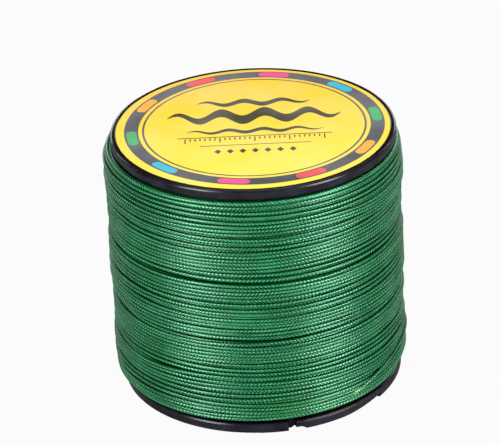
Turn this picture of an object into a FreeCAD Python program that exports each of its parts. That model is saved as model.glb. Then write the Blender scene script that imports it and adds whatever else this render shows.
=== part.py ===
import FreeCAD, Part

import math
import os
from itertools import product

# A bulk spool of braided fishing line, standing on its lower flange.
# Millimetres, +Z along the spool's axis, origin at the centre of the face it stands on.
# The front of the spool faces -Y, and +X is on the right.

# Driving dimensions
FLANGE_DIAMETER = 60.0
OVERALL_HEIGHT = 57.0
FLANGE_THICKNESS = 2.4
DRUM_DIAMETER = 24.0
AXLE_DIAMETER = 8.0
WOUND_DIAMETER = 62.2

# Flange: a thin web inside a thicker rim bead
RIM_LAND = 1.15
RIM_BEAD = 2.4
CORNER_RADIUS = 0.7
WEB_THICKNESS = 1.5
SEAT_DEPTH = 0.25
SEAT_EDGE = 0.12
FLANGE_RADIUS = FLANGE_DIAMETER / 2
SEAT_RADIUS = FLANGE_RADIUS - RIM_LAND
BEAD_INNER_RADIUS = FLANGE_RADIUS - RIM_BEAD
WEB_INNER_Z = SEAT_DEPTH + WEB_THICKNESS

# Line notch through the lower rim, and the arch under the rim that leads the line into it
NOTCH_ANGLE = 10.7
NOTCH_WIDTH = 1.5
NOTCH_DEPTH = 1.3
NOTCH_MOUTH_RADIUS = 0.6
NOTCH_CORNER_RADIUS = 0.35
ARCH_ANGLE = 13.7
ARCH_HALF_WIDTH = 1.6
ARCH_HEIGHT = 0.95
ARCH_DEPTH = 2.0
PAST_RIM = 1.5

# Stretch beside the arch where the rim's lower edge is bevelled, deeper and deeper up to a step.
# The bevel is a cone whose axis stands off the spool's axis.
BEVEL_FROM = 19.0
BEVEL_TO = 55.5
BEVEL_HEIGHT = 1.3
BEVEL_FOOT_RADIUS = 27.96
BEVEL_AXIS_SHIFT = 2.36
BEVEL_AXIS_ANGLE = -11.0

# Hub drum: barrel, axle tube and webs
DRUM_RADIUS = DRUM_DIAMETER / 2
DRUM_WALL = 1.5
BORE_RADIUS = AXLE_DIAMETER / 2 + 0.25
BORE_CHAMFER = 0.3
AXLE_TUBE_WALL = 1.3
AXLE_TUBE_RADIUS = BORE_RADIUS + AXLE_TUBE_WALL
TUBE_CLEARANCE = 0.1
WEB_COUNT = 6
WEB_WIDTH = 1.2
WEB_SETBACK = 7.0

# Snap hooks that latch the flanges to the drum
HOOK_COUNT = 3
HOOK_HALF_ANGLE = 14.0
HOOK_BARB = 0.6
HOOK_TIP_Z = SEAT_DEPTH + 0.12
POCKET_DEPTH = 0.7
POCKET_HALF_ANGLE = 18.0
POCKET_REACH = 1.3
WINDOW_HALF_ANGLE = 15.0
WINDOW_FREE_WIDTH = 0.8
POCKET_Z = SEAT_DEPTH + POCKET_DEPTH

# Label
LABEL_THICKNESS = 0.18
LABEL_RADIUS = SEAT_RADIUS - 0.05

# Tape that holds the first turns to the drum
TAPE_THICKNESS = 0.2
TAPE_WIDTH = 11.0
TAPE_HALF_ANGLE = 32.0
TAPE_FROM_FLANGE = 4.5

# Winding: a plain core, and an outer layer drawn as one tube of level turns.
# Each turn steps down to the next one over its last quarter, at the back of the spool.
TURNS = 24
TURN_DIAMETER = 1.7
HEAD_SPACE = 0.4
FOOT_SPACE = 0.75
WOUND_RADIUS = WOUND_DIAMETER / 2
SWELL = 0.19
SWELL_LENGTH = 20.25
SWELL_PEAK_Z = 8.25
SHOULDER = 0.6
SHOULDER_HEIGHT = 2.6
CORE_GAP = 0.07
CORE_SHOULDER = 0.27
CORE_ROWS = 24
QUARTERS = 4
STEP_DOWN_MIDDLE = 180.0
START_ANGLE = STEP_DOWN_MIDDLE + 45.0
END_BEND = 2.4
SLEEVE_GAP = 0.1
LOWEST_TURN_Z = FLANGE_THICKNESS + FOOT_SPACE + TURN_DIAMETER / 2
HIGHEST_TURN_Z = OVERALL_HEIGHT - FLANGE_THICKNESS - HEAD_SPACE - TURN_DIAMETER / 2
TURN_PITCH = (HIGHEST_TURN_Z - LOWEST_TURN_Z) / (TURNS - 1)
LAST_QUARTER = TURNS * QUARTERS - 1
SAME_DIRECTION = 1e-9


def vector(radius, angle, z):
    """A point at an angle in degrees from the front, turning towards the right."""
    a = math.radians(angle)
    return FreeCAD.Vector(radius * math.sin(a), -radius * math.cos(a), z)


def ring(inner, outer, low, high):
    """A plain ring round the axis, or a disc when inner is 0."""
    base = FreeCAD.Vector(0, 0, low)
    solid = Part.makeCylinder(outer, high - low, base)
    if inner > 0:
        solid = solid.cut(Part.makeCylinder(inner, high - low, base))
    return solid


def revolved(profile):
    """A solid turned round the axis from a closed outline in radius and height."""
    face = Part.Face(Part.Wire(profile))
    return face.revolve(FreeCAD.Vector(0, 0, 0), FreeCAD.Vector(0, 0, 1), 360)


def sector(outline, middle_angle, half_angle):
    """A solid turned part of the way round the axis, centred on an angle from the front."""
    points = [FreeCAD.Vector(r, 0, z) for r, z in outline]
    face = Part.Face(Part.makePolygon(points + points[:1]))
    solid = face.revolve(FreeCAD.Vector(0, 0, 0), FreeCAD.Vector(0, 0, 1), 2 * half_angle)
    solid.rotate(FreeCAD.Vector(0, 0, 0), FreeCAD.Vector(0, 0, 1), middle_angle - 90 - half_angle)
    return solid


def box_outline(inner, outer, low, high):
    return [(inner, low), (outer, low), (outer, high), (inner, high)]


def line(start, end):
    a = FreeCAD.Vector(start[0], 0, start[1])
    b = FreeCAD.Vector(end[0], 0, end[1])
    return Part.LineSegment(a, b).toShape()


def quarter_arc(start, end, centre):
    """A quarter circle in the section, bulging away from its centre."""
    a = FreeCAD.Vector(start[0], 0, start[1])
    b = FreeCAD.Vector(end[0], 0, end[1])
    c = FreeCAD.Vector(centre[0], 0, centre[1])
    out = (a + b) * 0.5 - c
    middle = c + out * ((a - c).Length / out.Length)
    return Part.Arc(a, middle, b).toShape()


def hook_angles():
    return [360.0 / HOOK_COUNT * i for i in range(HOOK_COUNT)]


# Flanges

def flange_section():
    """Half the section of the lower flange, outer face down."""
    hole = AXLE_TUBE_RADIUS + TUBE_CLEARANCE
    outer = FLANGE_RADIUS
    corner = CORNER_RADIUS
    top = FLANGE_THICKNESS
    bead = BEAD_INNER_RADIUS
    web = WEB_INNER_Z
    straight = [
        (hole, web),
        (hole, SEAT_DEPTH),
        (SEAT_RADIUS, SEAT_DEPTH),
        (SEAT_RADIUS, SEAT_EDGE),
        (SEAT_RADIUS + SEAT_EDGE, 0),
        (outer - corner, 0),
    ]
    edges = [line(a, b) for a, b in zip(straight, straight[1:])]
    edges.append(quarter_arc((outer - corner, 0), (outer, corner), (outer - corner, corner)))
    edges.append(line((outer, corner), (outer, top - corner)))
    edges.append(quarter_arc((outer, top - corner), (outer - corner, top), (outer - corner, top - corner)))
    edges.append(line((outer - corner, top), (bead + top - web, top)))
    edges.append(line((bead + top - web, top), (bead, web)))
    edges.append(line((bead, web), (hole, web)))
    return edges


def plain_flange():
    """The moulding that both flanges share: disc, rim, and the pockets for the hooks."""
    flange = revolved(flange_section())
    inner = DRUM_RADIUS - DRUM_WALL - WINDOW_FREE_WIDTH
    pocket = box_outline(inner, DRUM_RADIUS + POCKET_REACH, SEAT_DEPTH, POCKET_Z)
    window = box_outline(inner, DRUM_RADIUS + TUBE_CLEARANCE, POCKET_Z, WEB_INNER_Z)
    for angle in hook_angles():
        flange = flange.cut(sector(pocket, angle, POCKET_HALF_ANGLE))
        flange = flange.cut(sector(window, angle, WINDOW_HALF_ANGLE))
    return flange


def line_notch():
    """Cutter for the slot that takes the line's end: parallel walls, rounded mouth and corners."""
    half = NOTCH_WIDTH / 2
    mouth = NOTCH_MOUTH_RADIUS
    corner = NOTCH_CORNER_RADIUS
    rim = FLANGE_RADIUS
    bottom = rim - NOTCH_DEPTH
    inset = 1 - math.sqrt(0.5)

    def wall(sense):
        """Points from outside the rim over the rounded mouth, down the wall and round the corner."""
        places = [
            (half + mouth, rim + PAST_RIM),
            (half + mouth, rim),
            (half + mouth * inset, rim - mouth * inset),
            (half, rim - mouth),
            (half, bottom + corner),
            (half - corner * inset, bottom + corner * inset),
            (half - corner, bottom),
        ]
        return [FreeCAD.Vector(sense * x, -y, 0) for x, y in places]

    left, right = wall(-1), wall(1)
    edges = [Part.LineSegment(left[-1], right[-1]), Part.LineSegment(right[0], left[0])]
    for side in (left, right):
        edges.append(Part.LineSegment(side[0], side[1]))
        edges.append(Part.Arc(*side[1:4]))
        edges.append(Part.LineSegment(side[3], side[4]))
        edges.append(Part.Arc(*side[4:7]))
    outline = Part.__sortEdges__([edge.toShape() for edge in edges])
    cutter = Part.Face(Part.Wire(outline)).extrude(FreeCAD.Vector(0, 0, FLANGE_THICKNESS))
    cutter.rotate(FreeCAD.Vector(0, 0, 0), FreeCAD.Vector(0, 0, 1), NOTCH_ANGLE)
    return cutter


def lead_in_arch():
    """Cutter for the low arch under the rim: a lying cylinder that points at the axis."""
    radius = (ARCH_HEIGHT ** 2 + ARCH_HALF_WIDTH ** 2) / (2 * ARCH_HEIGHT)
    start = vector(FLANGE_RADIUS - ARCH_DEPTH, ARCH_ANGLE, ARCH_HEIGHT - radius)
    return Part.makeCylinder(radius, ARCH_DEPTH + PAST_RIM, start, vector(1, ARCH_ANGLE, 0))


def bevelled_edge():
    """Cutter for the bevel: a stretch of the rim's foot, less the cone that stays."""
    middle = (BEVEL_FROM + BEVEL_TO) / 2
    past = FLANGE_RADIUS + PAST_RIM
    foot = sector(box_outline(BEVEL_FOOT_RADIUS, past, 0, BEVEL_HEIGHT), middle, BEVEL_TO - middle)
    axis = vector(BEVEL_AXIS_SHIFT, BEVEL_AXIS_ANGLE, 0)
    return foot.cut(Part.makeCone(BEVEL_FOOT_RADIUS, BEVEL_FOOT_RADIUS + BEVEL_HEIGHT, BEVEL_HEIGHT, axis))


def lower_flange():
    return plain_flange().cut(line_notch()).cut(lead_in_arch()).cut(bevelled_edge())


def upper_flange():
    return turned_over(plain_flange())


def turned_over(shape):
    """The same moulding at the other end of the spool."""
    shape = shape.copy()
    shape.rotate(FreeCAD.Vector(0, 0, 0), FreeCAD.Vector(0, 1, 0), 180)
    shape.translate(FreeCAD.Vector(0, 0, OVERALL_HEIGHT))
    return shape


# Hub drum

def snap_hook(angle):
    """One arm with a barb that points outwards, at the lower end."""
    inner = DRUM_RADIUS - DRUM_WALL
    arm = box_outline(inner, DRUM_RADIUS, HOOK_TIP_Z, WEB_INNER_Z)
    barb = [
        (DRUM_RADIUS, HOOK_TIP_Z),
        (DRUM_RADIUS + HOOK_BARB / 2, HOOK_TIP_Z),
        (DRUM_RADIUS + HOOK_BARB, POCKET_Z - HOOK_BARB / 4),
        (DRUM_RADIUS + HOOK_BARB, POCKET_Z),
        (DRUM_RADIUS, POCKET_Z),
    ]
    return sector(arm, angle, HOOK_HALF_ANGLE).fuse(sector(barb, angle, HOOK_HALF_ANGLE))


def drum_web(angle):
    """One plate between the axle tube and the barrel."""
    overlap = DRUM_WALL / 4
    inner = AXLE_TUBE_RADIUS - overlap
    length = DRUM_RADIUS - DRUM_WALL + overlap - inner
    height = OVERALL_HEIGHT - 2 * WEB_SETBACK
    web = Part.makeBox(length, WEB_WIDTH, height, FreeCAD.Vector(inner, -WEB_WIDTH / 2, WEB_SETBACK))
    web.rotate(FreeCAD.Vector(0, 0, 0), FreeCAD.Vector(0, 0, 1), angle)
    return web


def axle_tube():
    """The tube that runs from seat to seat, with its two mouths chamfered."""
    low = SEAT_DEPTH
    high = OVERALL_HEIGHT - SEAT_DEPTH
    mouth = BORE_RADIUS + BORE_CHAMFER
    corners = [
        (AXLE_TUBE_RADIUS, low),
        (mouth, low),
        (BORE_RADIUS, low + BORE_CHAMFER),
        (BORE_RADIUS, high - BORE_CHAMFER),
        (mouth, high),
        (AXLE_TUBE_RADIUS, high),
        (AXLE_TUBE_RADIUS, low),
    ]
    return revolved([line(a, b) for a, b in zip(corners, corners[1:])])


def hub_drum():
    barrel = ring(DRUM_RADIUS - DRUM_WALL, DRUM_RADIUS, WEB_INNER_Z, OVERALL_HEIGHT - WEB_INNER_Z)
    drum = barrel.fuse(axle_tube())
    for i in range(WEB_COUNT):
        drum = drum.fuse(drum_web(360.0 / WEB_COUNT * i))
    for angle in hook_angles():
        hook = snap_hook(angle)
        drum = drum.fuse(hook).fuse(turned_over(hook))
    return drum.removeSplitter()


# Label and tape

def top_label():
    low = OVERALL_HEIGHT - SEAT_DEPTH
    return ring(0, LABEL_RADIUS, low, low + LABEL_THICKNESS)


def start_tape():
    low = FLANGE_THICKNESS + TAPE_FROM_FLANGE
    outline = box_outline(DRUM_RADIUS, DRUM_RADIUS + TAPE_THICKNESS, low, low + TAPE_WIDTH)
    return sector(outline, 180, TAPE_HALF_ANGLE)


# Winding

def near_end(z):
    """1 at the first and last turn, falling to 0 at the foot of the shoulder."""
    from_end = max(0.0, min(z - LOWEST_TURN_Z, HIGHEST_TURN_Z - z))
    return max(0.0, 1 - from_end / SHOULDER_HEIGHT)


def wound_radius(z):
    """The winding's outer radius: it swells and sinks a little, and draws in at both ends."""
    swell = SWELL * math.cos(2 * math.pi * (z - SWELL_PEAK_Z) / SWELL_LENGTH)
    return WOUND_RADIUS - SWELL + swell - SHOULDER * near_end(z) ** 2


def core_radius(z):
    """The inner layers' radius, which stays clear of the outer layer's tube."""
    return wound_radius(z) - TURN_DIAMETER - CORE_GAP - CORE_SHOULDER * near_end(z)


def turn_angle(quarter):
    return START_ANGLE + 360.0 / QUARTERS * quarter


def turn_point(quarter):
    """Where the outer layer's centre line is after so many quarter turns, from the top down."""
    z = HIGHEST_TURN_Z - TURN_PITCH * (quarter // QUARTERS)
    return vector(wound_radius(z) - TURN_DIAMETER / 2, turn_angle(quarter), z)


def turn_direction(quarter):
    return vector(1, turn_angle(quarter) + 90, 0)


def arc_from(start, direction, end):
    """The arc that leaves start along a direction and reaches end."""
    chord = end - start
    along = FreeCAD.Vector(chord).normalize()
    side = direction - along * direction.dot(along)
    half_turn = math.acos(max(-1.0, min(1.0, direction.dot(along))))
    rise = chord.Length / 2 * math.tan(half_turn / 2)
    middle = (start + end) * 0.5 + side.normalize() * rise
    return Part.Arc(start, middle, end)


def biarc(start, leaving, end, arriving):
    """Two arcs that join two points and keep both directions."""
    chord = end - start
    both = leaving + arriving
    a = 2 * (1 - leaving.dot(arriving))
    b = 2 * chord.dot(both)
    c = -chord.dot(chord)
    if abs(a) < SAME_DIRECTION:
        reach = -c / b
    else:
        reach = (-b + math.sqrt(b * b - 4 * a * c)) / (2 * a)
    first = start + leaving * reach
    second = end - arriving * reach
    joint = (first + second) * 0.5
    through = (second - first).normalize()
    return [arc_from(start, leaving, joint), arc_from(joint, through, end)]


def dive(quarter, sense):
    """Where an end of the layer goes inwards: the bend's two arcs and the straight end."""
    start = turn_point(quarter)
    leaving = turn_direction(quarter) * sense
    radius = math.hypot(start.x, start.y)
    angle = turn_angle(quarter) + sense * math.degrees(END_BEND / radius)
    bottom = vector(radius - END_BEND, angle, start.z)
    inwards = vector(-1, angle, 0)
    end = bottom + inwards * TURN_DIAMETER
    return biarc(start, leaving, bottom, inwards) + [Part.LineSegment(bottom, end)]


def turn_arcs():
    """The outer layer's turns, as a pair of arcs for each quarter turn."""
    arcs = []
    for here in range(LAST_QUARTER):
        there = here + 1
        arcs += biarc(turn_point(here), turn_direction(here), turn_point(there), turn_direction(there))
    return arcs


def tube(path, diameter):
    """A round tube along a smooth path of arcs and lines."""
    wire = Part.Wire([piece.toShape() for piece in path])
    start = wire.Edges[0].valueAt(wire.Edges[0].FirstParameter)
    direction = wire.Edges[0].tangentAt(wire.Edges[0].FirstParameter)
    circle = Part.Wire(Part.Circle(start, direction, diameter / 2).toShape())
    shell = Part.BRepOffsetAPI.MakePipeShell(wire)
    shell.add(circle)
    shell.build()
    shell.makeSolid()
    return shell.shape()


def reversed_path(path):
    """The same path from its other end."""
    turned = []
    for piece in reversed(path):
        low, high = piece.FirstParameter, piece.LastParameter
        start, end = piece.value(high), piece.value(low)
        if isinstance(piece, Part.LineSegment):
            turned.append(Part.LineSegment(start, end))
        else:
            turned.append(Part.Arc(start, piece.value((low + high) / 2), end))
    return turned


def outer_path():
    return reversed_path(dive(0, -1)) + turn_arcs() + dive(LAST_QUARTER, 1)


def line_outer_turns():
    return tube(outer_path(), TURN_DIAMETER)


def core_section():
    """Half the section of the inner layers, between the drum and the outer layer."""
    web_low = WEB_INNER_Z
    web_high = OVERALL_HEIGHT - WEB_INNER_Z
    bead_low = FLANGE_THICKNESS
    bead_high = OVERALL_HEIGHT - FLANGE_THICKNESS
    bead = BEAD_INNER_RADIUS
    slope = bead_low - web_low
    low = bead_low + FOOT_SPACE
    high = bead_high - HEAD_SPACE
    heights = [low + (high - low) * i / CORE_ROWS for i in range(CORE_ROWS + 1)]
    side = [FreeCAD.Vector(core_radius(z), 0, z) for z in heights]
    curve = Part.BSplineCurve()
    curve.interpolate(side)
    foot, head = side[0], side[-1]
    edges = [
        line((DRUM_RADIUS, web_high), (DRUM_RADIUS, web_low)),
        line((DRUM_RADIUS, web_low), (bead, web_low)),
        line((bead, web_low), (bead + slope, bead_low)),
        line((bead + slope, bead_low), (foot.x, foot.z)),
        curve.toShape(),
        line((head.x, head.z), (bead + slope, bead_high)),
        line((bead + slope, bead_high), (bead, web_high)),
        line((bead, web_high), (DRUM_RADIUS, web_high)),
    ]
    return edges


def line_core():
    core = revolved(core_section()).cut(start_tape())
    for path in (dive(0, -1), dive(LAST_QUARTER, 1)):
        core = core.cut(tube(path, TURN_DIAMETER + 2 * SLEEVE_GAP))
    return core


def sampled(path, spacing):
    """Points along a path, and how far along it each one is."""
    points = []
    travelled = 0.0
    for piece in path:
        low, high = piece.FirstParameter, piece.LastParameter
        length = piece.length(low, high)
        count = max(1, int(round(length / spacing)))
        for i in range(count):
            share = i / count
            points.append((piece.value(low + (high - low) * share), travelled + length * share))
        travelled = travelled + length
    return points


def least_gap(path, diameter):
    """The least clear distance between two stretches of a tube that aren't neighbours along it."""
    cell = 4 * diameter
    skipped = 6 * diameter
    grid = {}
    least = float("inf")
    for point, place in sampled(path, diameter / 3):
        home = tuple(int(math.floor(c / cell)) for c in point)
        for step in product((-1, 0, 1), repeat=3):
            spot = tuple(h + s for h, s in zip(home, step))
            for other, where in grid.get(spot, []):
                if place - where > skipped:
                    least = min(least, (point - other).Length)
        grid.setdefault(home, []).append((point, place))
    return least - diameter


def tightest_bend(path):
    bends = [piece.toShape().Curve for piece in path if not isinstance(piece, Part.LineSegment)]
    return min(bend.Radius for bend in bends)


NODES = {
    "lower_flange": lower_flange,
    "upper_flange": upper_flange,
    "hub_drum": hub_drum,
    "top_label": top_label,
    "start_tape": start_tape,
    "line_core": line_core,
    "line_outer_turns": line_outer_turns,
}

os.makedirs("parts", exist_ok=True)
for name, make in NODES.items():
    shape = make()
    shape.exportStep(os.path.join("parts", name + ".step"))
    state = "valid" if shape.isValid() else "not valid"
    print(name, state, len(shape.Solids), "solid", round(shape.Volume, 1), "mm3")

route = outer_path()
route_length = sum(piece.length(piece.FirstParameter, piece.LastParameter) for piece in route)
section = math.pi * TURN_DIAMETER ** 2 / 4
print("outer layer: length", round(route_length, 1), "mm")
print("outer layer: section times length", round(route_length * section, 1), "mm3")
print("outer layer: least gap to itself", round(least_gap(route, TURN_DIAMETER), 3), "mm")
print("outer layer: tightest bend", round(tightest_bend(route), 2), "mm")
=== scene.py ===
import math

import bpy
import numpy as np
from mathutils import Matrix, Vector


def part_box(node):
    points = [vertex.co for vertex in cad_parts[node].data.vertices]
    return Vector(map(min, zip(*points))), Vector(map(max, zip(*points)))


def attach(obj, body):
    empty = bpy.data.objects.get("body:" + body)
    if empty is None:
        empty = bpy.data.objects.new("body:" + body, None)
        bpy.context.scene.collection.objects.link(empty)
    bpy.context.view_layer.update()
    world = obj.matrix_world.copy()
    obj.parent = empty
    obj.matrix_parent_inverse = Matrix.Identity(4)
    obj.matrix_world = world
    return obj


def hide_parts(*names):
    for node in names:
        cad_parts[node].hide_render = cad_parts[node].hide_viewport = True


# A bulk spool of braided fishing line in a plain pale studio.
# Lengths are in millimetres; meshes, the floor and the places of camera and lamps are in metres.
# Angles are in degrees from the front of the spool, turning towards the right.
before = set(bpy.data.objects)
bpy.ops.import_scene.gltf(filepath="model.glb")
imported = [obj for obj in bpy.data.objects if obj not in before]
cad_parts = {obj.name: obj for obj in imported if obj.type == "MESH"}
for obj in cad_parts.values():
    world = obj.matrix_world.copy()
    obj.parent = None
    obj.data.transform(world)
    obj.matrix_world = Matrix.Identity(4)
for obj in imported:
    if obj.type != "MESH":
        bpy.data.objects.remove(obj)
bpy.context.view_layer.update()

MM = 0.001


def node_radius(node):
    """How far a node of the frame reaches from the middle, rounded to hundredths of a millimetre."""
    low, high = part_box(node)
    return round(max(-low.x, -low.y, high.x, high.y) / MM, 2)


def node_heights(node):
    """A node's lowest and highest place, rounded in the same way."""
    low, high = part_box(node)
    return round(low.z / MM, 2), round(high.z / MM, 2)


# The flanges and the label, from the frame; the lower flange stands at height 0
FLANGE_RADIUS = node_radius("lower_flange")
FLANGE_THICKNESS = node_heights("lower_flange")[1]
OVERALL_HEIGHT = node_heights("upper_flange")[1]
LABEL_RADIUS = node_radius("top_label")
LABEL_BOTTOM, LABEL_TOP = node_heights("top_label")

# The drum's barrel, without the hooks that its box also holds
DRUM_RADIUS = 12.0

# Camera, fitted to the rims and the label
CAMERA_PLACE = (0.0, -0.57485, 0.33139)
CAMERA_RIGHT = (0.998998, -0.018445, -0.040768)
CAMERA_AHEAD = (-0.002326, 0.888454, -0.45896)
CAMERA_UP = (0.044686, 0.458595, 0.887521)
CAMERA_LENS = 218.95
CAMERA_NEAR = 0.01
SENSOR_WIDTH = 36.0

# The winding's outline
WOUND_RADIUS = 31.3
FULLER_SIDE_ANGLE = -90.0
FULLER_BY = 0.33
SWELL = 0.19
SWELL_LENGTH = 20.25
SWELL_PEAK_Z = 8.25
SHOULDER = 0.6
SHOULDER_HEIGHT = 2.6

# The line as it lies, flattened, and its width where its turns press together
LINE_WIDTH = 0.9
LINE_THICKNESS = 0.8
PRESSED_WIDTH = 0.8

# The middle of the line in its lowest and highest turns
LOWEST_LINE_Z = 3.7
HIGHEST_LINE_Z = 54.1

# The braid: its repeat along the line, its columns of strands, and the strands' lean in repeats
BEAD_LENGTH = 0.8
COLUMNS = 4
STRAND_LEAN = 0.85

# The strands' rounding along and across, their relief, and how much of their colour shows where worn
RIDGE_POWER = 1.5
MIDDLE_POWER = 0.5
STRAND_RELIEF = 0.04
WORN_STRENGTH = 0.72

# The map of the winding's surface: azimuths from the seam at the back, and bins of height
AZIMUTHS = 240
SEAM_ANGLE = 180.0
BIN = 0.04

# The two layers: their turns, their drift in height, and how far a turn may slip into a groove
UNDER_TURNS = 50
UNDER_DRIFT = 0.22
UNDER_FREEDOM = 0.2
TOP_TURNS = 53
TOP_DRIFT = 0.45
TOP_FREEDOM = 0.3

# The least step from turn to turn, and how softly it sets in
LEAST_STEP = 0.72
STEP_SOFTNESS = 0.01

# The top layer starts this far beyond its highest place, so that its first turn runs level
LEVEL_START = 0.9

# Random drift: waves per turn, how far these and their weights vary, and the calm turns at each end
SEED = 41
DRIFT_WAVES = (0.13, 0.31, 0.57, 0.83, 1.37, 2.1, 3.3)
DRIFT_WAVE_FACTORS = (0.85, 1.15)
DRIFT_WEIGHT_FACTORS = (0.6, 1.0)
CALM_TURNS = 2.5

# How a turn settles sideways, smoothed over so many azimuths
SHIFTS_TRIED = 9
PULL_BACK = 0.35
CHOICE_SPREAD = 0.02
COST_BLUR = 5.0
SLIP_BLUR = 7.0

# How a turn is drawn tight, over so many azimuths, and joins the turn before it
BRIDGED = 2
TIGHT_BLUR = 3.2
PRESS_IN = 0.5
JOIN_LENGTH = 30

# The line's meshes: points around it, rings along a turn, and turns in a piece
UNDER_SIDES = 8
TOP_SIDES = 14
TOP_RINGS = 300
TURNS_PER_PIECE = 14

# The line's slow roll in turns and change of tone, as size, millimetres per radian, and start
ROLL_WAVES = ((0.35, 41.0, 0.0), (0.22, 17.3, 1.0))
ROLL_START = 4.0
TONE_WAVES = ((0.32, 63.0, 2.0), (0.18, 23.7, 0.0))
MEAN_TONE = 0.5

# A turn this near to the highest place has none above it, so its upper side faces out at least so far
# and gets little painted shade
OPEN_HEIGHT = 0.3
OPEN_SIDE = 0.93

# The cut end: angle and height along the line's last stretch, which crosses the turns below it
LAST_STRETCH = ((180.0, 3.75), (150.0, 5.3), (125.0, 7.4), (100.0, 9.4), (80.0, 10.1), (65.0, 9.6),
                (55.0, 8.6), (49.1, 7.75), (44.3, 7.0), (40.3, 6.3), (35.6, 5.45))

# Its smoothing and the length of its join in azimuths, and its rings in each azimuth
END_BLUR = 4.0
END_JOIN_LENGTH = 24
END_RINGS = 3

# The sizes of its last rings, which swell and close, and the tones that turn them yellow
TIP_SIZES = (1.02, 1.05, 1.1, 1.14, 1.18, 1.2, 1.2, 1.18, 1.1, 0.95, 0.6, 0.0)
TIP_TONES = (1.2, 2.1)

# The bed under the laid layers, and the lightly ribbed ring that stands a little below it
BED_DEPTH = 1.3
BED_BELOW = 0.15
BED_RIB = 0.12
BED_RIB_SPACING = 1.07
BED_DRUM_GAP = 0.3
BED_FOOT_INSET = 3.0
BED_ROWS = 260
BED_SIDES = 180

# The ring's place in the braid: how fast it runs around with height, its tone, and how it faces out,
# which gives it nearly the full painted shade of the grooves
BED_AROUND = 0.35
BED_TONE = 0.3
BED_OUTWARDS = 0.1

# The width of the plastic's painted sheen along the rim, and the lower rim's dull stretch: where it
# sets in along X, Y and Z
RIM_SHEEN_WIDTH = 0.6
DULL_EDGE = ((6.5, 9.0), (-15.5, -17.5), (2.6, 2.2))
DULL_ROUGHNESS = 0.45

# The label's sheet: insets and drops along its soft edge, and rings in shares of its radius
SHEET_SIDES = 240
SHEET_EDGE = ((0.0, 0.05), (0.02, 0.015), (0.08, 0.0))
SHEET_RINGS = (0.9, 0.75, 0.5, 0.25, 0.02)

# The label's print, lifted off the sheet; its other sizes are shares of the label's radius
PRINT_LIFT = 0.006
PRINT_ROUGHNESS = 0.52
PRINT_SHIFT = (0.0115, 0.0115)

# Rings from inner to outer radius, with the steps of their arcs in degrees
DARK_RING = (0.846, 0.949)
THIN_RING = (0.803, 0.818)
ARC_STEP = 1.5
LEAST_ARC_STEPS = 8

# Rounded marks in the dark ring, started and measured in degrees
MARK_COUNT = 10
MARK_START = 18.0
MARK_LENGTH = 15.0
MARK_INSET = 0.014

# Waves as place, half length, thickness and periods
WAVES = ((0.41, 0.42, 0.075, 3.0), (0.18, 0.64, 0.15, 4.0), (-0.07, 0.50, 0.055, 4.0))
WAVE_STEPS = 160
WAVE_SWING = 0.42
WAVE_TAPER = 0.6

# Two bars as place, half length and half thickness, with ticks under the first
UPPER_BAR = (-0.16, 0.56, 0.006)
LOWER_BAR = (-0.30, 0.40, 0.005)
TICK_COUNT = 29
TALL_EVERY = 7
TICK_START = -0.504
TICK_SPACING = 0.036
TICK_TOP = -0.175
TICK_HALF_WIDTH = 0.005
TALL_TICK = 0.036
SHORT_TICK = 0.02

# Diamonds under the second bar
DIAMOND_COUNT = 7
DIAMOND_START = -0.27
DIAMOND_SPACING = 0.09
DIAMOND_Y = -0.40
DIAMOND_HALF_WIDTH = 0.026
DIAMOND_HALF_HEIGHT = 0.037

# Numbers of the inks: rings, pattern, and the first of the colours that the marks take in turn
RING_INK = 0
PATTERN_INK = 1
FIRST_MARK_INK = 2
MARK_INKS = 5

# The floor, the shares of its white glow for the camera and for glossy surfaces, and the world's light
FLOOR_HALF = 3.0
FLOOR_GLOW = 0.96
GLOSSY_GLOW = 0.08
WORLD_STRENGTH = 0.05

seeded = np.random.default_rng(SEED)


# Small helpers

def linear(red, green, blue):
    """A colour given in 0 to 255 as the eye sees it, in the linear values that nodes take."""
    values = []
    for channel in (red, green, blue):
        share = channel / 255
        if share <= 0.04045:
            values.append(share / 12.92)
        else:
            values.append(((share + 0.055) / 1.055) ** 2.4)
    return (*values, 1.0)


def linked_object(name, mesh, materials):
    """Puts a finished mesh into the scene."""
    for material in materials:
        mesh.materials.append(material)
    thing = bpy.data.objects.new(name, mesh)
    bpy.context.scene.collection.objects.link(thing)
    return thing


def plain_object(name, points, faces, materials):
    """A flat-shaded object from lists of points and faces."""
    mesh = bpy.data.meshes.new(name)
    mesh.from_pydata(points, [], faces)
    return linked_object(name, mesh, materials)


def smooth_object(name, points, quads, material):
    """A smooth-shaded object from arrays of points and quads."""
    mesh = bpy.data.meshes.new(name)
    count, sides = quads.shape
    mesh.vertices.add(len(points))
    mesh.vertices.foreach_set("co", points.astype(np.float32).ravel())
    mesh.loops.add(count * sides)
    mesh.loops.foreach_set("vertex_index", quads.astype(np.int32).ravel())
    mesh.polygons.add(count)
    mesh.polygons.foreach_set("loop_start", np.arange(0, count * sides, sides, dtype=np.int32))
    mesh.polygons.foreach_set("use_smooth", np.ones(count, dtype=bool))
    mesh.update(calc_edges=True)
    return linked_object(name, mesh, [material])


def polar_points(radius, angle, z):
    """Points in metres, from radii and heights in millimetres and angles in radians."""
    columns = np.broadcast_arrays(radius * np.sin(angle), -radius * np.cos(angle), z)
    return np.stack(columns, axis=-1).reshape(-1, 3) * MM


def ring_quads(rows, sides, closed=False):
    """Corners of the quads between rings of points; if closed, the last ring joins the first."""
    steps = rows if closed else rows - 1
    row, side = np.meshgrid(np.arange(steps), np.arange(sides), indexing="ij")
    beside = (side + 1) % sides
    here = row * sides
    above = (row + 1) % rows * sides
    corners = [here + side, here + beside, above + beside, above + side]
    return np.stack(corners, axis=2).reshape(-1, 4)


def blurred(values, sigma):
    """A periodic row of values, smoothed."""
    frequencies = np.fft.rfftfreq(len(values))
    fade = np.exp(-2 * (math.pi * frequencies * sigma) ** 2)
    return np.fft.irfft(np.fft.rfft(values) * fade, len(values))


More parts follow.
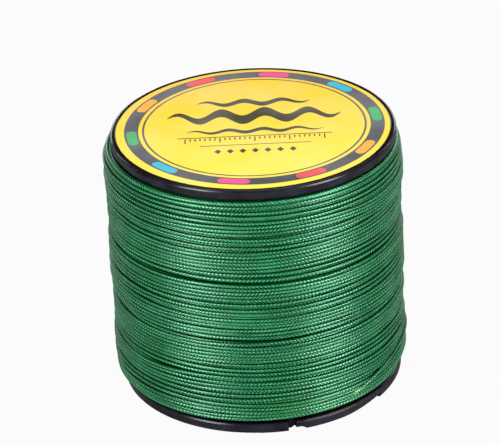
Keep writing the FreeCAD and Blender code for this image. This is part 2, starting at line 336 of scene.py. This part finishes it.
class Graph:
    """A material's nodes, with short ways to add the ones used here."""

    def __init__(self, name):
        self.material = bpy.data.materials.new(name)
        self.material.use_nodes = True
        self.nodes = self.material.node_tree.nodes
        self.links = self.material.node_tree.links
        self.shader = self.nodes["Principled BSDF"]

    def add(self, kind, settings=None, **inputs):
        node = self.nodes.new(kind)
        for key, value in (settings or {}).items():
            setattr(node, key, value)
        for key, value in inputs.items():
            self.join(value, node.inputs[key.replace("_", " ")])
        return node

    def join(self, value, socket):
        if isinstance(value, bpy.types.NodeSocket):
            self.links.new(value, socket)
        else:
            socket.default_value = value

    def math(self, operation, *values):
        node = self.nodes.new("ShaderNodeMath")
        node.operation = operation
        for number, value in enumerate(values):
            self.join(value, node.inputs[number])
        return node.outputs[0]

    def mix(self, share, first, second):
        node = self.nodes.new("ShaderNodeMix")
        node.data_type = "RGBA"
        self.join(share, node.inputs[0])
        self.join(first, node.inputs[6])
        self.join(second, node.inputs[7])
        return node.outputs[2]

    def ranged(self, value, low, high, new_low=0.0, new_high=1.0):
        node = self.nodes.new("ShaderNodeMapRange")
        for number, item in enumerate((value, low, high, new_low, new_high)):
            self.join(item, node.inputs[number])
        return node.outputs[0]

    def noise(self, vector, scale, detail=3.0, roughness=0.5):
        node = self.add("ShaderNodeTexNoise", Vector=vector, Scale=scale, Detail=detail,
                        Roughness=roughness)
        return node.outputs["Fac"]

    def place(self):
        return self.add("ShaderNodeTexCoord").outputs["Object"]

    def bump(self, height, distance, strength=1.0, normal=None):
        """Relief of a depth in millimetres, on top of another normal if one is given."""
        node = self.add("ShaderNodeBump", Height=height, Distance=distance * MM, Strength=strength)
        if normal is not None:
            self.links.new(normal, node.inputs["Normal"])
        return node.outputs["Normal"]

    def finish(self, **inputs):
        for key, value in inputs.items():
            self.join(value, self.shader.inputs[key.replace("_", " ")])
        return self.material


# Materials

def line_material():
    """Eight-strand braid: slanted strands in columns, with a waxy finish."""
    graph = Graph("line_braid")
    data = graph.add("ShaderNodeAttribute", {"attribute_name": "braid"}).outputs["Vector"]
    along, around, tone = graph.add("ShaderNodeSeparateXYZ", Vector=data).outputs
    outwards = graph.add("ShaderNodeAttribute", {"attribute_name": "outwards"}).outputs["Fac"]

    # Strands: neighbouring columns lean in opposite senses and are half a repeat apart
    column = graph.math("MULTIPLY", around, float(COLUMNS))
    column_number = graph.math("FLOOR", column)
    across = graph.math("FRACT", column)
    odd = graph.math("MODULO", column_number, 2.0)
    sense = graph.math("SUBTRACT", 1.0, graph.math("MULTIPLY", odd, 2.0))
    lean = graph.math("MULTIPLY", sense, graph.math("SUBTRACT", across, 0.5))
    lean = graph.math("MULTIPLY", lean, STRAND_LEAN)
    strand = graph.math("ADD", graph.math("DIVIDE", along, BEAD_LENGTH), lean)
    strand = graph.math("ADD", strand, graph.math("MULTIPLY", odd, 0.5))
    ridge = graph.math("ABSOLUTE", graph.math("SINE", graph.math("MULTIPLY", strand, math.pi)))
    ridge = graph.math("POWER", ridge, RIDGE_POWER)
    middle = graph.math("SINE", graph.math("MULTIPLY", across, math.pi))
    middle = graph.math("POWER", middle, MIDDLE_POWER)
    height = graph.math("MULTIPLY", ridge, middle)
    strand_number = graph.math("FLOOR", strand)
    cell = graph.add("ShaderNodeCombineXYZ", X=strand_number, Y=column_number, Z=0.5).outputs[0]
    bead = graph.add("ShaderNodeTexWhiteNoise", Vector=cell).outputs["Value"]

    # Crowns, with painted glints on some beads and faded stretches, over valleys in painted shade
    place = graph.place()
    patches = graph.noise(place, scale=160.0, detail=2.0)
    # Painted shade: the valleys between the strands are darkened
    painted_valley_shade = graph.mix(patches, linear(0, 42, 15), linear(0, 55, 24))
    crown = graph.mix(tone, linear(43, 148, 94), linear(71, 171, 118))
    # Painted glints: some beads are lit up towards a pale mint
    painted_glint = graph.ranged(bead, 0.5, 1.0, new_high=0.4)
    crown = graph.mix(painted_glint, crown, linear(122, 198, 148))
    faded = graph.ranged(graph.noise(place, scale=95.0, detail=2.0), 0.5, 0.68, new_high=0.4)
    crown = graph.mix(faded, crown, linear(78, 160, 88))

    # How much of the crown's colour shows over the painted shade of the valleys, evened out where the
    # strands are worn
    strength = graph.ranged(height, 0.15, 0.85)
    worn = graph.ranged(graph.noise(place, scale=130.0, detail=2.0), 0.5, 0.7, new_high=0.5)
    missing = graph.math("SUBTRACT", WORN_STRENGTH, strength)
    strength = graph.math("ADD", strength, graph.math("MULTIPLY", worn, missing))
    colour = graph.mix(strength, painted_valley_shade, crown)

    # Fine speckle, painted shade on the sides towards the neighbouring turns, and the yellow tip
    speckle = graph.noise(place, scale=2600.0, detail=2.0, roughness=0.6)
    speckle = graph.ranged(speckle, 0.55, 0.8, new_high=0.15)
    colour = graph.mix(speckle, colour, linear(70, 166, 112))
    painted_groove_shade = graph.ranged(outwards, 0.62, 0.98, new_low=0.98, new_high=0.0)
    colour = graph.mix(painted_groove_shade, colour, linear(0, 47, 19))
    yellow = graph.ranged(tone, 1.2, 2.0, new_high=0.5)
    colour = graph.mix(yellow, colour, linear(134, 184, 96))

    rough = graph.ranged(height, 0.2, 0.9, new_low=0.27, new_high=0.17)
    gloss = graph.ranged(outwards, 0.5, 0.9, new_low=0.12)
    normal = graph.bump(height, STRAND_RELIEF)
    return graph.finish(Base_Color=colour, Roughness=rough, Normal=normal, IOR=1.6,
                        Specular_IOR_Level=gloss, Specular_Tint=(0.38, 0.88, 0.58, 1.0))


def plastic_material(name, dark, worn, roughness):
    """Moulded black plastic: soft ripple, fine scratches, a painted sheen along the rim and a dull low
    edge.
    """
    graph = Graph(name)
    place = graph.place()
    parts = graph.add("ShaderNodeSeparateXYZ", Vector=place).outputs
    flat = graph.add("ShaderNodeCombineXYZ", X=parts[0], Y=parts[1], Z=0.0).outputs[0]
    length = graph.add("ShaderNodeVectorMath", {"operation": "LENGTH"})
    graph.links.new(flat, length.inputs[0])
    radius = length.outputs["Value"]
    # Painted sheen: a band along the outer rim is lightened in patches towards the pale violet-grey
    rim_sheen_mask = graph.ranged(radius, (FLANGE_RADIUS - RIM_SHEEN_WIDTH) * MM, FLANGE_RADIUS * MM)
    ripple = graph.noise(place, scale=220.0, detail=2.0)
    grain = graph.noise(place, scale=5200.0, roughness=0.6)
    squeezed = graph.add("ShaderNodeMapping", Vector=place, Scale=(400.0, 6500.0, 900.0),
                         Rotation=(0.0, 0.0, 0.7)).outputs[0]
    scratch = graph.noise(squeezed, scale=1.0, detail=2.0)
    scratch = graph.ranged(scratch, 0.66, 0.72, new_high=0.25)
    sheen_patches = graph.ranged(ripple, 0.35, 0.75, new_low=0.1, new_high=0.7)
    colour = graph.mix(graph.math("MULTIPLY", rim_sheen_mask, sheen_patches), dark, worn)
    colour = graph.mix(scratch, colour, worn)
    rough = graph.ranged(grain, 0.25, 0.75, roughness - 0.05, roughness + 0.08)
    dull = DULL_ROUGHNESS
    for part, (start, full) in zip(parts, DULL_EDGE):
        dull = graph.math("MULTIPLY", dull, graph.ranged(part, start * MM, full * MM))
    rough = graph.math("MAXIMUM", rough, dull)
    normal = graph.bump(ripple, 0.04, strength=0.5)
    normal = graph.bump(grain, 0.012, strength=0.5, normal=normal)
    return graph.finish(Base_Color=colour, Roughness=rough, Normal=normal, Specular_IOR_Level=0.35)


def print_material(name, near, far):
    """Ink on satin film, with a light change of colour from front to back and a fine tooth."""
    graph = Graph(name)
    place = graph.place()
    parts = graph.add("ShaderNodeSeparateXYZ", Vector=place).outputs
    depth = graph.ranged(parts[1], -LABEL_RADIUS * MM, LABEL_RADIUS * MM)
    cloud = graph.noise(place, scale=90.0)
    tooth = graph.noise(place, scale=4200.0, detail=2.0)
    colour = graph.mix(depth, near, far)
    pale = graph.ranged(cloud, 0.35, 0.7, new_high=0.1)
    colour = graph.mix(pale, colour, linear(255, 255, 255))
    rough = graph.ranged(cloud, 0.3, 0.7, PRINT_ROUGHNESS - 0.05, PRINT_ROUGHNESS + 0.06)
    normal = graph.bump(cloud, 0.05, strength=0.35)
    normal = graph.bump(tooth, 0.006, strength=0.5, normal=normal)
    return graph.finish(Base_Color=colour, Roughness=rough, Normal=normal, Specular_IOR_Level=0.1)


def tape_material():
    """Pale adhesive tape with threads along the drum's surface."""
    graph = Graph("start_tape_film")
    place = graph.place()
    fibres = graph.add("ShaderNodeMapping", Vector=place, Scale=(300.0, 300.0, 5200.0)).outputs[0]
    threads = graph.noise(fibres, scale=1.0)
    colour = graph.mix(threads, linear(196, 180, 140), linear(226, 214, 176))
    normal = graph.bump(threads, 0.02, strength=0.6)
    return graph.finish(Base_Color=colour, Roughness=0.45, Normal=normal)


# The winding

def near_end(z):
    """1 at the first and last turn, falling to 0 at the foot of the shoulder."""
    from_end = np.maximum(0.0, np.minimum(z - LOWEST_LINE_Z, HIGHEST_LINE_Z - z))
    return np.maximum(0.0, 1 - from_end / SHOULDER_HEIGHT)


def azimuth_angle(index):
    """The angle at a place along the line, counted in azimuths from the seam."""
    return SEAM_ANGLE - index * 360.0 / AZIMUTHS


def fuller_side():
    """How much further out than the mean the winding stands at each azimuth."""
    angles = np.radians(azimuth_angle(np.arange(AZIMUTHS)))
    return FULLER_BY * np.cos(angles - math.radians(FULLER_SIDE_ANGLE))


def wound_radius(z):
    """The mean outer radius of the winding at a height."""
    swell = SWELL * np.cos(2 * math.pi * (z - SWELL_PEAK_Z) / SWELL_LENGTH)
    return WOUND_RADIUS - SWELL + swell - SHOULDER * near_end(z) ** 2


class Surface:
    """How far out the winding reaches so far, by azimuth and height."""

    def __init__(self, depth):
        self.low = FLANGE_THICKNESS
        self.heights = np.arange(self.low, OVERALL_HEIGHT - FLANGE_THICKNESS, BIN)
        row = wound_radius(self.heights) - depth
        self.reach = row + fuller_side()[:, None]
        self.rows = np.arange(AZIMUTHS)[:, None]
        self.offsets = np.arange(-PRESSED_WIDTH / 2 + BIN / 2, PRESSED_WIDTH / 2, BIN)
        self.dome = LINE_THICKNESS / 2 * np.sqrt(1 - (2 * self.offsets / PRESSED_WIDTH) ** 2)

    def bins(self, z):
        found = np.rint((z[:, None] + self.offsets - self.low) / BIN).astype(int)
        return np.clip(found, 0, len(self.heights) - 1)

    def rest(self, z):
        """The centre radius at which a line laid at these heights touches what is under it."""
        return np.max(self.reach[self.rows, self.bins(z)] + self.dome, axis=1)

    def take(self, z, radius):
        """Adds a laid turn to the surface."""
        found = self.bins(z)
        crown = radius[:, None] + self.dome
        np.maximum.at(self.reach, (np.broadcast_to(self.rows, found.shape), found), crown)


def settled(surface, z, freedom):
    """Heights after a turn has slipped sideways towards the nearest groove."""
    shifts = np.linspace(-freedom, freedom, SHIFTS_TRIED)
    cost = []
    for shift in shifts:
        cost.append(blurred(surface.rest(z + shift), COST_BLUR) + PULL_BACK * shift ** 2)
    cost = np.array(cost)
    weight = np.exp(-(cost - cost.min(axis=0)) / CHOICE_SPREAD)
    slip = (weight * shifts[:, None]).sum(axis=0) / weight.sum(axis=0)
    return z + blurred(slip, SLIP_BLUR)


def drawn_tight(radius, z):
    """A turn under tension bridges hollows, runs smoothly over what it crosses and presses into it."""
    spread = [np.roll(radius, step) for step in range(-BRIDGED, BRIDGED + 1)]
    tight = blurred(np.max(spread, axis=0), TIGHT_BLUR)
    usual = wound_radius(z) + fuller_side() - LINE_THICKNESS / 2
    return tight - PRESS_IN * np.maximum(0.0, tight - usual)


def wander(turns, size):
    """A slow random drift in height along a layer's whole path."""
    count = turns * AZIMUTHS
    place = np.arange(count) / AZIMUTHS
    drift = np.zeros(count)
    for usual in DRIFT_WAVES:
        waves = usual * seeded.uniform(*DRIFT_WAVE_FACTORS)
        weight = seeded.uniform(*DRIFT_WEIGHT_FACTORS) / (1 + usual)
        drift += weight * np.sin(2 * math.pi * (place * waves + seeded.uniform()))
    ends = np.clip(np.minimum(place, turns - place) / CALM_TURNS, 0, 1)
    return size * drift * ends


def at_least(step, least):
    """A step that never falls below the least one, with a soft change between the two."""
    over = step - least
    return least + (over + np.sqrt(over * over + STEP_SOFTNESS)) / 2


def eased(count, length):
    """Rises smoothly from 0 to 1 over a length, then stays."""
    share = np.clip(np.arange(count) / length, 0, 1)
    return share * share * (3 - 2 * share)


def laid_layer(surface, start_z, end_z, turns, drift, freedom, start_radius=None):
    """Lays one layer of the line turn by turn and gives its heights and centre radii."""
    count = turns * AZIMUTHS
    heights = np.linspace(start_z, end_z, count) + wander(turns, drift)
    ease = eased(AZIMUTHS, JOIN_LENGTH)
    onwards = math.copysign(1.0, end_z - start_z)
    all_z, all_radius = [], []
    for turn in range(turns):
        z = heights[turn * AZIMUTHS:(turn + 1) * AZIMUTHS]
        z = settled(surface, z, freedom)
        if all_z:
            z = all_z[-1] + onwards * at_least(onwards * (z - all_z[-1]), LEAST_STEP)
        z = np.clip(z, LOWEST_LINE_Z, HIGHEST_LINE_Z)
        if all_z:
            z = z + (all_z[-1][-1] - z[0]) * (1 - ease)
        radius = drawn_tight(surface.rest(z), z)
        last = all_radius[-1][-1] if all_radius else start_radius
        if last is not None:
            radius = radius + (last - radius[0]) * (1 - ease)
        surface.take(z, radius)
        all_z.append(z)
        all_radius.append(radius)
    return np.concatenate(all_z), np.concatenate(all_radius)


def loose_end(surface, start_radius):
    """The line's last stretch over the finished turns, up to its cut end."""
    angles, heights = np.array(LAST_STRETCH).T
    travel = SEAM_ANGLE - angles
    count = int(round(travel[-1] * AZIMUTHS / 360)) + 1
    share = np.arange(count) * 360.0 / AZIMUTHS
    z = np.full(AZIMUTHS, heights[-1])
    z[:count] = np.interp(share, travel, heights)
    z = blurred(np.concatenate([z[:1].repeat(AZIMUTHS), z]), END_BLUR)[AZIMUTHS:]
    radius = drawn_tight(surface.rest(z), z)
    radius = radius + (start_radius - radius[0]) * (1 - eased(AZIMUTHS, END_JOIN_LENGTH))
    return z[:count], radius[:count]


def braid_data(piece, data, outwards):
    """What the material reads: place along and around the line, tone, and how far a side faces out."""
    attribute = piece.data.attributes.new("braid", "FLOAT_VECTOR", "CORNER")
    attribute.data.foreach_set("vector", data.astype(np.float32).ravel())
    attribute = piece.data.attributes.new("outwards", "FLOAT", "CORNER")
    attribute.data.foreach_set("value", outwards.astype(np.float32))


def slow_waves(along, waves):
    """A slow change along the line."""
    return sum(size * np.sin(along / length + start) for size, length, start in waves)


def tube_mesh(name, z, radius, angle, rings, sides, start_along, material, tip=False):
    """A flattened tube along a path that is given by height, radius and angle."""
    share = np.linspace(0, len(z) - 1, rings)
    index = np.arange(len(z))
    ring_z = np.interp(share, index, z)
    ring_radius = np.interp(share, index, radius)
    ring_angle = np.radians(np.interp(share, index, angle))
    turn = np.arange(sides) * 2 * math.pi / sides
    size = np.ones((rings, 1))
    if tip:
        size[-len(TIP_SIZES):, 0] = TIP_SIZES
    reach = ring_radius[:, None] + LINE_THICKNESS / 2 * np.cos(turn) * size
    height = ring_z[:, None] + LINE_WIDTH / 2 * np.sin(turn) * size
    quads = ring_quads(rings, sides)
    piece = smooth_object(name, polar_points(reach, ring_angle[:, None], height), quads, material)

    step = np.abs(np.diff(ring_angle)) * ring_radius[1:]
    along = start_along + np.concatenate([[0.0], np.cumsum(step)])
    roll = slow_waves(along, ROLL_WAVES)
    tone = MEAN_TONE + slow_waves(along, TONE_WAVES)
    if tip:
        tone[-len(TIP_SIZES):] = np.linspace(*TIP_TONES, len(TIP_SIZES))

    # Each corner's ring and side; sides count on past the last one, so that the pattern closes there
    ring = quads.reshape(-1) // sides
    side = ((np.arange(len(quads)) % sides)[:, None] + (0, 1, 1, 0)).reshape(-1)
    data = np.stack([along[ring], side / sides + roll[ring] + ROLL_START, tone[ring]], axis=1)
    # How far each side faces out: the material paints shade on the sides that face the neighbouring
    # turns and lowers their gloss
    outwards = np.cos(turn)[side % sides]
    upwards = np.sin(turn)[side % sides]
    is_open = (ring_z[ring] > HIGHEST_LINE_Z - OPEN_HEIGHT) & (upwards > 0)
    braid_data(piece, data, np.where(is_open, np.maximum(outwards, OPEN_SIDE), outwards))
    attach(piece, "root")
    return piece


def layer_pieces(name, z, radius, turns, rings_per_turn, sides, material):
    """One layer as a row of meshes, each a stretch of so many turns."""
    made = []
    for start in range(0, turns, TURNS_PER_PIECE):
        stop = min(start + TURNS_PER_PIECE, turns)
        low = start * AZIMUTHS
        high = min(stop * AZIMUTHS + 1, len(z))
        angle = azimuth_angle(np.arange(low, high))
        rings = (stop - start) * rings_per_turn + 1
        along = low * 2 * math.pi * WOUND_RADIUS / AZIMUTHS
        made.append(tube_mesh(f"{name}_{len(made) + 1}", z[low:high], radius[low:high], angle,
                              rings, sides, along, material))
    return made


def winding_bed(material):
    """The layers below the ones drawn, as one ring with a lightly ribbed outside."""
    bottom = FLANGE_THICKNESS
    top = OVERALL_HEIGHT - FLANGE_THICKNESS
    inside = DRUM_RADIUS + BED_DRUM_GAP
    foot = FLANGE_RADIUS - BED_FOOT_INSET
    heights = np.linspace(LOWEST_LINE_Z - LINE_WIDTH / 2, HIGHEST_LINE_Z + LINE_WIDTH / 2, BED_ROWS)
    ribs = BED_RIB * np.abs(np.sin(math.pi * heights / BED_RIB_SPACING))
    outside = wound_radius(heights) - BED_DEPTH - FULLER_BY - BED_BELOW + ribs
    section = [(inside, bottom), (foot, bottom), *zip(outside, heights), (foot, top), (inside, top)]
    radius, z = np.array(section).T
    turn = np.arange(BED_SIDES) * 2 * math.pi / BED_SIDES
    points = polar_points(radius[:, None], turn[None, :], z[:, None])
    quads = ring_quads(len(section), BED_SIDES, closed=True)
    piece = smooth_object("line_bed", points, quads, material)

    row, side = np.divmod(np.arange(len(quads)), BED_SIDES)
    data = np.stack([
        np.repeat(side * 2 * math.pi * WOUND_RADIUS / BED_SIDES, 4),
        np.repeat(z[row] * BED_AROUND, 4),
        np.full(quads.size, BED_TONE),
    ], axis=1)
    # It counts as facing inwards, so that it takes nearly the full painted shade of the grooves
    braid_data(piece, data, np.full(quads.size, BED_OUTWARDS))
    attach(piece, "root")
    return piece


braid = line_material()
surface = Surface(BED_DEPTH)
under_z, under_radius = laid_layer(surface, LOWEST_LINE_Z, HIGHEST_LINE_Z, UNDER_TURNS,
                                   UNDER_DRIFT, UNDER_FREEDOM)
top_z, top_radius = laid_layer(surface, HIGHEST_LINE_Z + LEVEL_START, LOWEST_LINE_Z, TOP_TURNS,
                               TOP_DRIFT, TOP_FREEDOM, under_radius[-1])
end_z, end_radius = loose_end(surface, top_radius[-1])

bed = winding_bed(braid)
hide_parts("line_core")
layer_pieces("line_under_turns", under_z, under_radius, UNDER_TURNS, AZIMUTHS, UNDER_SIDES, braid)
top = layer_pieces("line_top_turns", top_z, top_radius, TOP_TURNS, TOP_RINGS, TOP_SIDES, braid)
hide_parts("line_outer_turns")
tube_mesh("line_cut_end", end_z, end_radius, azimuth_angle(np.arange(len(end_z))),
          END_RINGS * len(end_z), TOP_SIDES, 0.0, braid, tip=True)


# The label

class Print:
    """Flat printed shapes that are gathered into one mesh with a material for each ink."""

    def __init__(self):
        self.points = []
        self.faces = []
        self.inks = []

    def strip(self, first, second, ink, layer=1):
        """Fills between two edges with the same number of points."""
        start = len(self.points)
        scale = LABEL_RADIUS * MM
        z = (LABEL_TOP + PRINT_LIFT * layer) * MM
        for x, y in (*first, *second):
            self.points.append((scale * (x + PRINT_SHIFT[0]), scale * (y + PRINT_SHIFT[1]), z))
        count = len(first)
        for i in range(start, start + count - 1):
            self.faces.append((i, i + 1, i + count + 1, i + count))
            self.inks.append(ink)

    def arc(self, inner, outer, low, high, ink, layer=1, rounded=False):
        """Part of a ring, from one angle to another, with round ends if asked."""
        count = max(LEAST_ARC_STEPS, int((high - low) / ARC_STEP))
        first, second = [], []
        middle, half = (inner + outer) / 2, (outer - inner) / 2
        cap = math.degrees(half / middle)
        for i in range(count + 1):
            angle = low + (high - low) * (0.5 - 0.5 * math.cos(math.pi * i / count))
            reach = half
            from_end = min(angle - low, high - angle)
            if rounded and from_end < cap:
                reach = half * math.sqrt(max(0.0, 1 - (1 - from_end / cap) ** 2))
            a = math.radians(angle)
            first.append(((middle - reach) * math.sin(a), -(middle - reach) * math.cos(a)))
            second.append(((middle + reach) * math.sin(a), -(middle + reach) * math.cos(a)))
        self.strip(second, first, ink, layer)

    def wave(self, y, half_length, thickness, periods, ink):
        """A wave that is thickest in its middle and runs out to points."""
        upper, lower = [], []
        for i in range(WAVE_STEPS + 1):
            x = -half_length + 2 * half_length * i / WAVE_STEPS
            fade = max(0.0, math.cos(math.pi / 2 * x / half_length))
            swing = math.sin(2 * math.pi * periods * i / WAVE_STEPS)
            centre = y + WAVE_SWING * thickness * swing
            reach = thickness / 2 * fade ** WAVE_TAPER
            upper.append((x, centre + reach))
            lower.append((x, centre - reach))
        self.strip(lower, upper, ink)

    def bar(self, x, y, half_width, half_height, ink):
        low = [(x - half_width, y - half_height), (x + half_width, y - half_height)]
        high = [(x - half_width, y + half_height), (x + half_width, y + half_height)]
        self.strip(low, high, ink)

    def diamond(self, x, y, half_width, half_height, ink):
        low = [(x - half_width, y), (x, y - half_height)]
        high = [(x, y + half_height), (x + half_width, y)]
        self.strip(low, high, ink)


def label_print(inks):
    """A generic pattern of rings, marks, waves, ticks and diamonds."""
    pattern = Print()
    pattern.arc(*DARK_RING, 0, 360, RING_INK)
    pattern.arc(*THIN_RING, 0, 360, RING_INK)
    inner, outer = DARK_RING[0] + MARK_INSET, DARK_RING[1] - MARK_INSET
    for i in range(MARK_COUNT):
        start = MARK_START + 360.0 / MARK_COUNT * i
        ink = FIRST_MARK_INK + i % MARK_INKS
        pattern.arc(inner, outer, start, start + MARK_LENGTH, ink, layer=2, rounded=True)
    for wave in WAVES:
        pattern.wave(*wave, PATTERN_INK)
    for bar in (UPPER_BAR, LOWER_BAR):
        pattern.bar(0, *bar, PATTERN_INK)
    for i in range(TICK_COUNT):
        tall = TALL_TICK if i % TALL_EVERY == 0 else SHORT_TICK
        x = TICK_START + TICK_SPACING * i
        pattern.bar(x, TICK_TOP - tall, TICK_HALF_WIDTH, tall, PATTERN_INK)
    for i in range(DIAMOND_COUNT):
        x = DIAMOND_START + DIAMOND_SPACING * i
        pattern.diamond(x, DIAMOND_Y, DIAMOND_HALF_WIDTH, DIAMOND_HALF_HEIGHT, PATTERN_INK)
    piece = plain_object("label_print", pattern.points, pattern.faces, inks)
    piece.data.polygons.foreach_set("material_index", pattern.inks)
    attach(piece, "root")


def label_sheet(film):
    """The sticker itself: a thin disc with a soft edge that lies in the flange's seat."""
    section = [(LABEL_RADIUS, LABEL_BOTTOM)]
    section += [(LABEL_RADIUS - inset, LABEL_TOP - drop) for inset, drop in SHEET_EDGE]
    section += [(LABEL_RADIUS * share, LABEL_TOP) for share in SHEET_RINGS]
    radius, z = np.array(section).T
    turn = np.arange(SHEET_SIDES) * 2 * math.pi / SHEET_SIDES
    points = polar_points(radius[:, None], turn[None, :], z[:, None]).tolist()
    faces = ring_quads(len(section), SHEET_SIDES).tolist()
    faces.append(list(range(len(points) - SHEET_SIDES, len(points))))
    faces.append(list(reversed(range(SHEET_SIDES))))
    piece = plain_object("label_sheet", points, faces, [film])
    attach(piece, "root")
    return piece


# The yellow turns darker and more orange towards the back: partly print, partly painted light falloff
film = print_material("label_yellow", linear(255, 236, 84), linear(255, 206, 64))
inks = [print_material("ink_grey", linear(84, 84, 90), linear(104, 104, 108))]
for name, colour in (
    ("ink_olive", (78, 76, 58)),
    ("ink_red", (250, 84, 92)),
    ("ink_orange", (253, 178, 62)),
    ("ink_green", (70, 178, 104)),
    ("ink_blue", (70, 190, 222)),
    ("ink_pink", (250, 88, 156)),
):
    inks.append(print_material(name, linear(*colour), linear(*colour)))
label = label_sheet(film)
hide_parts("top_label")
label_print(inks)

# Plastic and tape
# The second colour is that of the scratches and of the painted sheen along the rim
black = plastic_material("flange_plastic", linear(5, 6, 9), linear(46, 43, 56), 0.2)
matte = plastic_material("hub_plastic", linear(22, 22, 25), linear(52, 52, 58), 0.42)
tape = tape_material()
for node, material in (
    ("lower_flange", black),
    ("upper_flange", black),
    ("hub_drum", matte),
    ("start_tape", tape),
):
    node_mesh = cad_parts[node].data
    node_mesh.materials.clear()
    node_mesh.materials.append(material)


# Floor and studio

def floor_material():
    """Grey to the light, so that no haze falls on the line, and white to the camera."""
    graph = Graph("floor_white")
    material = graph.finish(Base_Color=linear(108, 108, 110), Roughness=0.9)
    glow = graph.add("ShaderNodeEmission", Color=(1.0, 1.0, 1.0, 1.0), Strength=1.0)
    path = graph.add("ShaderNodeLightPath").outputs
    seen = graph.math("MAXIMUM", path["Is Camera Ray"], path["Is Transmission Ray"])
    glossy = graph.math("MULTIPLY", path["Is Glossy Ray"], GLOSSY_GLOW)
    seen = graph.math("MAXIMUM", seen, glossy)
    blend = graph.add("ShaderNodeMixShader")
    graph.join(graph.math("MULTIPLY", seen, FLOOR_GLOW), blend.inputs[0])
    graph.join(graph.shader.outputs[0], blend.inputs[1])
    graph.join(glow.outputs[0], blend.inputs[2])
    graph.join(blend.outputs[0], graph.nodes["Material Output"].inputs["Surface"])
    return material


corners = [(x * FLOOR_HALF, y * FLOOR_HALF, 0) for x, y in ((-1, -1), (1, -1), (1, 1), (-1, 1))]
floor = plain_object("floor", corners, [(0, 1, 2, 3)], [floor_material()])


def softbox(name, azimuth, elevation, distance, width, height, power):
    """A soft rectangular light that faces the middle of the spool."""
    light = bpy.data.lights.new(name, "AREA")
    light.shape = "RECTANGLE"
    light.size = width
    light.size_y = height
    light.energy = power
    lamp = bpy.data.objects.new(name, light)
    a, e = math.radians(azimuth), math.radians(elevation)
    out = Vector((math.sin(a) * math.cos(e), -math.cos(a) * math.cos(e), math.sin(e)))
    middle = Vector((0, 0, OVERALL_HEIGHT / 2 * MM))
    lamp.location = middle + out * distance
    lamp.rotation_euler = out.to_track_quat("Z", "Y").to_euler()
    bpy.context.scene.collection.objects.link(lamp)


# Each lamp's azimuth, elevation, distance, width, height and power
softbox("left_softbox", -46, 20, 0.62, 0.24, 0.5, 4.85)
softbox("right_softbox", 54, 20, 0.62, 0.24, 0.5, 5.1)
softbox("top_softbox", 170, 76, 0.7, 0.6, 0.6, 1.7)
softbox("left_rear_softbox", -128, 20, 0.7, 0.1, 0.3, 0.32)
softbox("right_rear_softbox", 128, 20, 0.7, 0.1, 0.3, 0.32)
softbox("left_back_softbox", -156, 4, 0.7, 0.3, 0.3, 0.8)
softbox("right_back_softbox", 156, 4, 0.7, 0.3, 0.3, 0.8)

world = bpy.data.worlds.new("studio")
bpy.context.scene.world = world
world.use_nodes = True
background = world.node_tree.nodes["Background"].inputs
background["Color"].default_value = (0.95, 0.97, 1.0, 1.0)
background["Strength"].default_value = WORLD_STRENGTH

# Camera
camera_data = bpy.data.cameras.new("camera")
camera_data.sensor_width = SENSOR_WIDTH
camera_data.lens = CAMERA_LENS
camera_data.clip_start = CAMERA_NEAR
camera = bpy.data.objects.new("camera", camera_data)
columns = (Vector(CAMERA_RIGHT), Vector(CAMERA_UP), -Vector(CAMERA_AHEAD))
turned = Matrix([[column[row] for column in columns] for row in range(3)])
camera.matrix_world = Matrix.Translation(CAMERA_PLACE) @ turned.to_4x4()
bpy.context.scene.collection.objects.link(camera)
bpy.context.scene.camera = camera
bpy.context.scene.view_settings.view_transform = "Standard"
